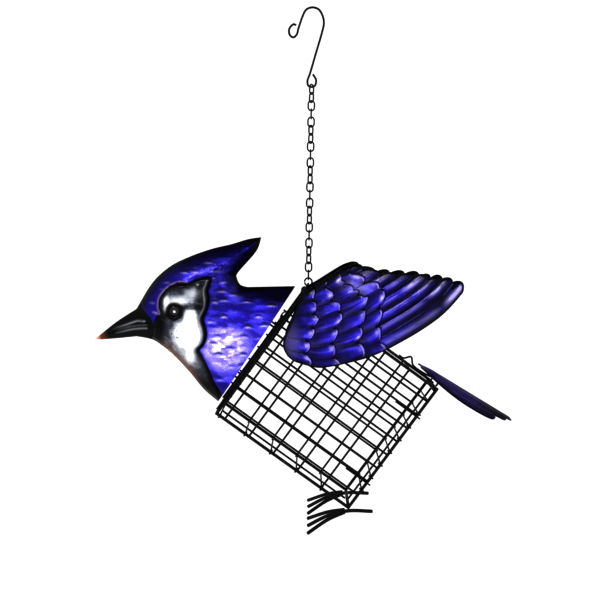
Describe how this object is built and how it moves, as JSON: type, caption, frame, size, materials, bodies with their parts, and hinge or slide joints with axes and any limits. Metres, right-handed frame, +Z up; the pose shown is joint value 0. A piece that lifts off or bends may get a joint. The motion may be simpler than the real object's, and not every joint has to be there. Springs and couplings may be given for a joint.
{
  "type": "suet feeder",
  "caption": "Hanging wire cage for a suet cake, dressed as a crested jay in stamped lacquered metal, on a link chain with a hook; the tail lifts the lid.",
  "frame": {"origin": "inside top of the hook's bend, where it bears on a branch or rod", "axes": "+Z up, -X towards the beak, -Y towards the bird's left wing"},
  "size_m": [0.3661, 0.0898, 0.4443],
  "materials": {
    "black_wire": "black powder coat, satin",
    "blue_lacquer": "metallic blue-violet lacquer, glossy",
    "indigo_lacquer": "dark indigo lacquer fading to black, glossy"
  },
  "bodies": {
    "hook": {"hanging_hook": "black_wire"},
    "chain_link_01": {"chain_link_01": "black_wire"},
    "chain_link_02": {"chain_link_02": "black_wire"},
    "chain_link_03": {"chain_link_03": "black_wire"},
    "chain_link_04": {"chain_link_04": "black_wire"},
    "chain_link_05": {"chain_link_05": "black_wire"},
    "chain_link_06": {"chain_link_06": "black_wire"},
    "chain_link_07": {"chain_link_07": "black_wire"},
    "chain_link_08": {"chain_link_08": "black_wire"},
    "chain_link_09": {"chain_link_09": "black_wire"},
    "chain_link_10": {"chain_link_10": "black_wire"},
    "chain_link_11": {"chain_link_11": "black_wire"},
    "chain_link_12": {"chain_link_12": "black_wire"},
    "chain_link_13": {"chain_link_13": "black_wire"},
    "chain_link_14": {"chain_link_14": "black_wire"},
    "chain_link_15": {"chain_link_15": "black_wire"},
    "chain_link_16": {"chain_link_16": "black_wire"},
    "chain_link_17": {"chain_link_17": "black_wire"},
    "chain_link_18": {"chain_link_18": "black_wire"},
    "chain_link_19": {"chain_link_19": "black_wire"},
    "chain_link_20": {"chain_link_20": "black_wire"},
    "chain_link_21": {"chain_link_21": "black_wire"},
    "chain_link_22": {"chain_link_22": "black_wire"},
    "chain_link_23": {"chain_link_23": "black_wire"},
    "chain_link_24": {"chain_link_24": "black_wire"},
    "ring": {"chain_ring": "black_wire"},
    "bird": {"hanging_eye": "black_wire", "side_grid_left": "black_wire", "side_grid_right": "black_wire", "neck_grid": "black_wire", "tail_side_grid": "black_wire", "floor_grid": "black_wire", "neck_loop": "black_wire", "head_staple_upper": "black_wire", "head_staple_lower": "black_wire", "head_shell_left": "blue_lacquer", "head_shell_right": "blue_lacquer", "wing_left": "blue_lacquer", "wing_right": "blue_lacquer", "foot_left_middle_toe": "black_wire", "foot_left_outer_toe": "black_wire", "foot_left_inner_toe": "black_wire", "foot_right_middle_toe": "black_wire", "foot_right_outer_toe": "black_wire", "foot_right_inner_toe": "black_wire"},
    "lid": {"lid_grid": "black_wire", "tail_plate": "indigo_lacquer", "lift_wire": "black_wire", "tail_post_left": "black_wire", "tail_post_right": "black_wire"}
  },
  "joints": [
    {"name": "chain_link_01_swing", "type": "hinge", "parent": "hook", "child": "chain_link_01", "pos_m": [0, 0, -0.0654], "axis": [-0.809, 0.5878, 0], "range_deg": [-30, 30]},
    {"name": "chain_link_02_swing", "type": "hinge", "parent": "chain_link_01", "child": "chain_link_02", "pos_m": [0, 0, -0.07155], "axis": [-0.809, -0.5878, 0], "range_deg": [-30, 30]},
    {"name": "chain_link_03_swing", "type": "hinge", "parent": "chain_link_02", "child": "chain_link_03", "pos_m": [0, 0, -0.07845], "axis": [0.309, -0.9511, 0], "range_deg": [-30, 30]},
    {"name": "chain_link_04_swing", "type": "hinge", "parent": "chain_link_03", "child": "chain_link_04", "pos_m": [0, 0, -0.08535], "axis": [1, 0, 0], "range_deg": [-30, 30]},
    {"name": "chain_link_05_swing", "type": "hinge", "parent": "chain_link_04", "child": "chain_link_05", "pos_m": [0, 0, -0.09225], "axis": [0.309, 0.9511, 0], "range_deg": [-30, 30]},
    {"name": "chain_link_06_swing", "type": "hinge", "parent": "chain_link_05", "child": "chain_link_06", "pos_m": [0, 0, -0.09915], "axis": [-0.809, 0.5878, 0], "range_deg": [-30, 30]},
    {"name": "chain_link_07_swing", "type": "hinge", "parent": "chain_link_06", "child": "chain_link_07", "pos_m": [0, 0, -0.10605], "axis": [-0.809, -0.5878, 0], "range_deg": [-30, 30]},
    {"name": "chain_link_08_swing", "type": "hinge", "parent": "chain_link_07", "child": "chain_link_08", "pos_m": [0, 0, -0.11295], "axis": [0.309, -0.9511, 0], "range_deg": [-30, 30]},
    {"name": "chain_link_09_swing", "type": "hinge", "parent": "chain_link_08", "child": "chain_link_09", "pos_m": [0, 0, -0.11985], "axis": [1, 0, 0], "range_deg": [-30, 30]},
    {"name": "chain_link_10_swing", "type": "hinge", "parent": "chain_link_09", "child": "chain_link_10", "pos_m": [0, 0, -0.12675], "axis": [0.309, 0.9511, 0], "range_deg": [-30, 30]},
    {"name": "chain_link_11_swing", "type": "hinge", "parent": "chain_link_10", "child": "chain_link_11", "pos_m": [0, 0, -0.13365], "axis": [-0.809, 0.5878, 0], "range_deg": [-30, 30]},
    {"name": "chain_link_12_swing", "type": "hinge", "parent": "chain_link_11", "child": "chain_link_12", "pos_m": [0, 0, -0.14055], "axis": [-0.809, -0.5878, 0], "range_deg": [-30, 30]},
    {"name": "chain_link_13_swing", "type": "hinge", "parent": "chain_link_12", "child": "chain_link_13", "pos_m": [0, 0, -0.14745], "axis": [0.309, -0.9511, 0], "range_deg": [-30, 30]},
    {"name": "chain_link_14_swing", "type": "hinge", "parent": "chain_link_13", "child": "chain_link_14", "pos_m": [0, 0, -0.15435], "axis": [1, 0, 0], "range_deg": [-30, 30]},
    {"name": "chain_link_15_swing", "type": "hinge", "parent": "chain_link_14", "child": "chain_link_15", "pos_m": [0, 0, -0.16125], "axis": [0.309, 0.9511, 0], "range_deg": [-30, 30]},
    {"name": "chain_link_16_swing", "type": "hinge", "parent": "chain_link_15", "child": "chain_link_16", "pos_m": [0, 0, -0.16815], "axis": [-0.809, 0.5878, 0], "range_deg": [-30, 30]},
    {"name": "chain_link_17_swing", "type": "hinge", "parent": "chain_link_16", "child": "chain_link_17", "pos_m": [0, 0, -0.17505], "axis": [-0.809, -0.5878, 0], "range_deg": [-30, 30]},
    {"name": "chain_link_18_swing", "type": "hinge", "parent": "chain_link_17", "child": "chain_link_18", "pos_m": [0, 0, -0.18195], "axis": [0.309, -0.9511, 0], "range_deg": [-30, 30]},
    {"name": "chain_link_19_swing", "type": "hinge", "parent": "chain_link_18", "child": "chain_link_19", "pos_m": [0, 0, -0.18885], "axis": [1, 0, 0], "range_deg": [-30, 30]},
    {"name": "chain_link_20_swing", "type": "hinge", "parent": "chain_link_19", "child": "chain_link_20", "pos_m": [0, 0, -0.19575], "axis": [0.309, 0.9511, 0], "range_deg": [-30, 30]},
    {"name": "chain_link_21_swing", "type": "hinge", "parent": "chain_link_20", "child": "chain_link_21", "pos_m": [0, 0, -0.20265], "axis": [-0.809, 0.5878, 0], "range_deg": [-30, 30]},
    {"name": "chain_link_22_swing", "type": "hinge", "parent": "chain_link_21", "child": "chain_link_22", "pos_m": [0, 0, -0.20955], "axis": [-0.809, -0.5878, 0], "range_deg": [-30, 30]},
    {"name": "chain_link_23_swing", "type": "hinge", "parent": "chain_link_22", "child": "chain_link_23", "pos_m": [0, 0, -0.21645], "axis": [0.309, -0.9511, 0], "range_deg": [-30, 30]},
    {"name": "chain_link_24_swing", "type": "hinge", "parent": "chain_link_23", "child": "chain_link_24", "pos_m": [0, 0, -0.22335], "axis": [1, 0, 0], "range_deg": [-30, 30]},
    {"name": "ring_swing", "type": "hinge", "parent": "chain_link_24", "child": "ring", "pos_m": [0, 0, -0.23025], "axis": [0.309, 0.9511, 0], "range_deg": [-30, 30]},
    {"name": "bird_swing", "type": "hinge", "parent": "ring", "child": "bird", "pos_m": [0, 0, -0.2356], "axis": [-1, 0, 0], "range_deg": [-25, 25]},
    {"name": "lid_hinge", "type": "hinge", "parent": "bird", "child": "lid", "pos_m": [-0.00333, 0, -0.24035], "axis": [0, -1, 0], "range_deg": [0, 90]}
  ]
}
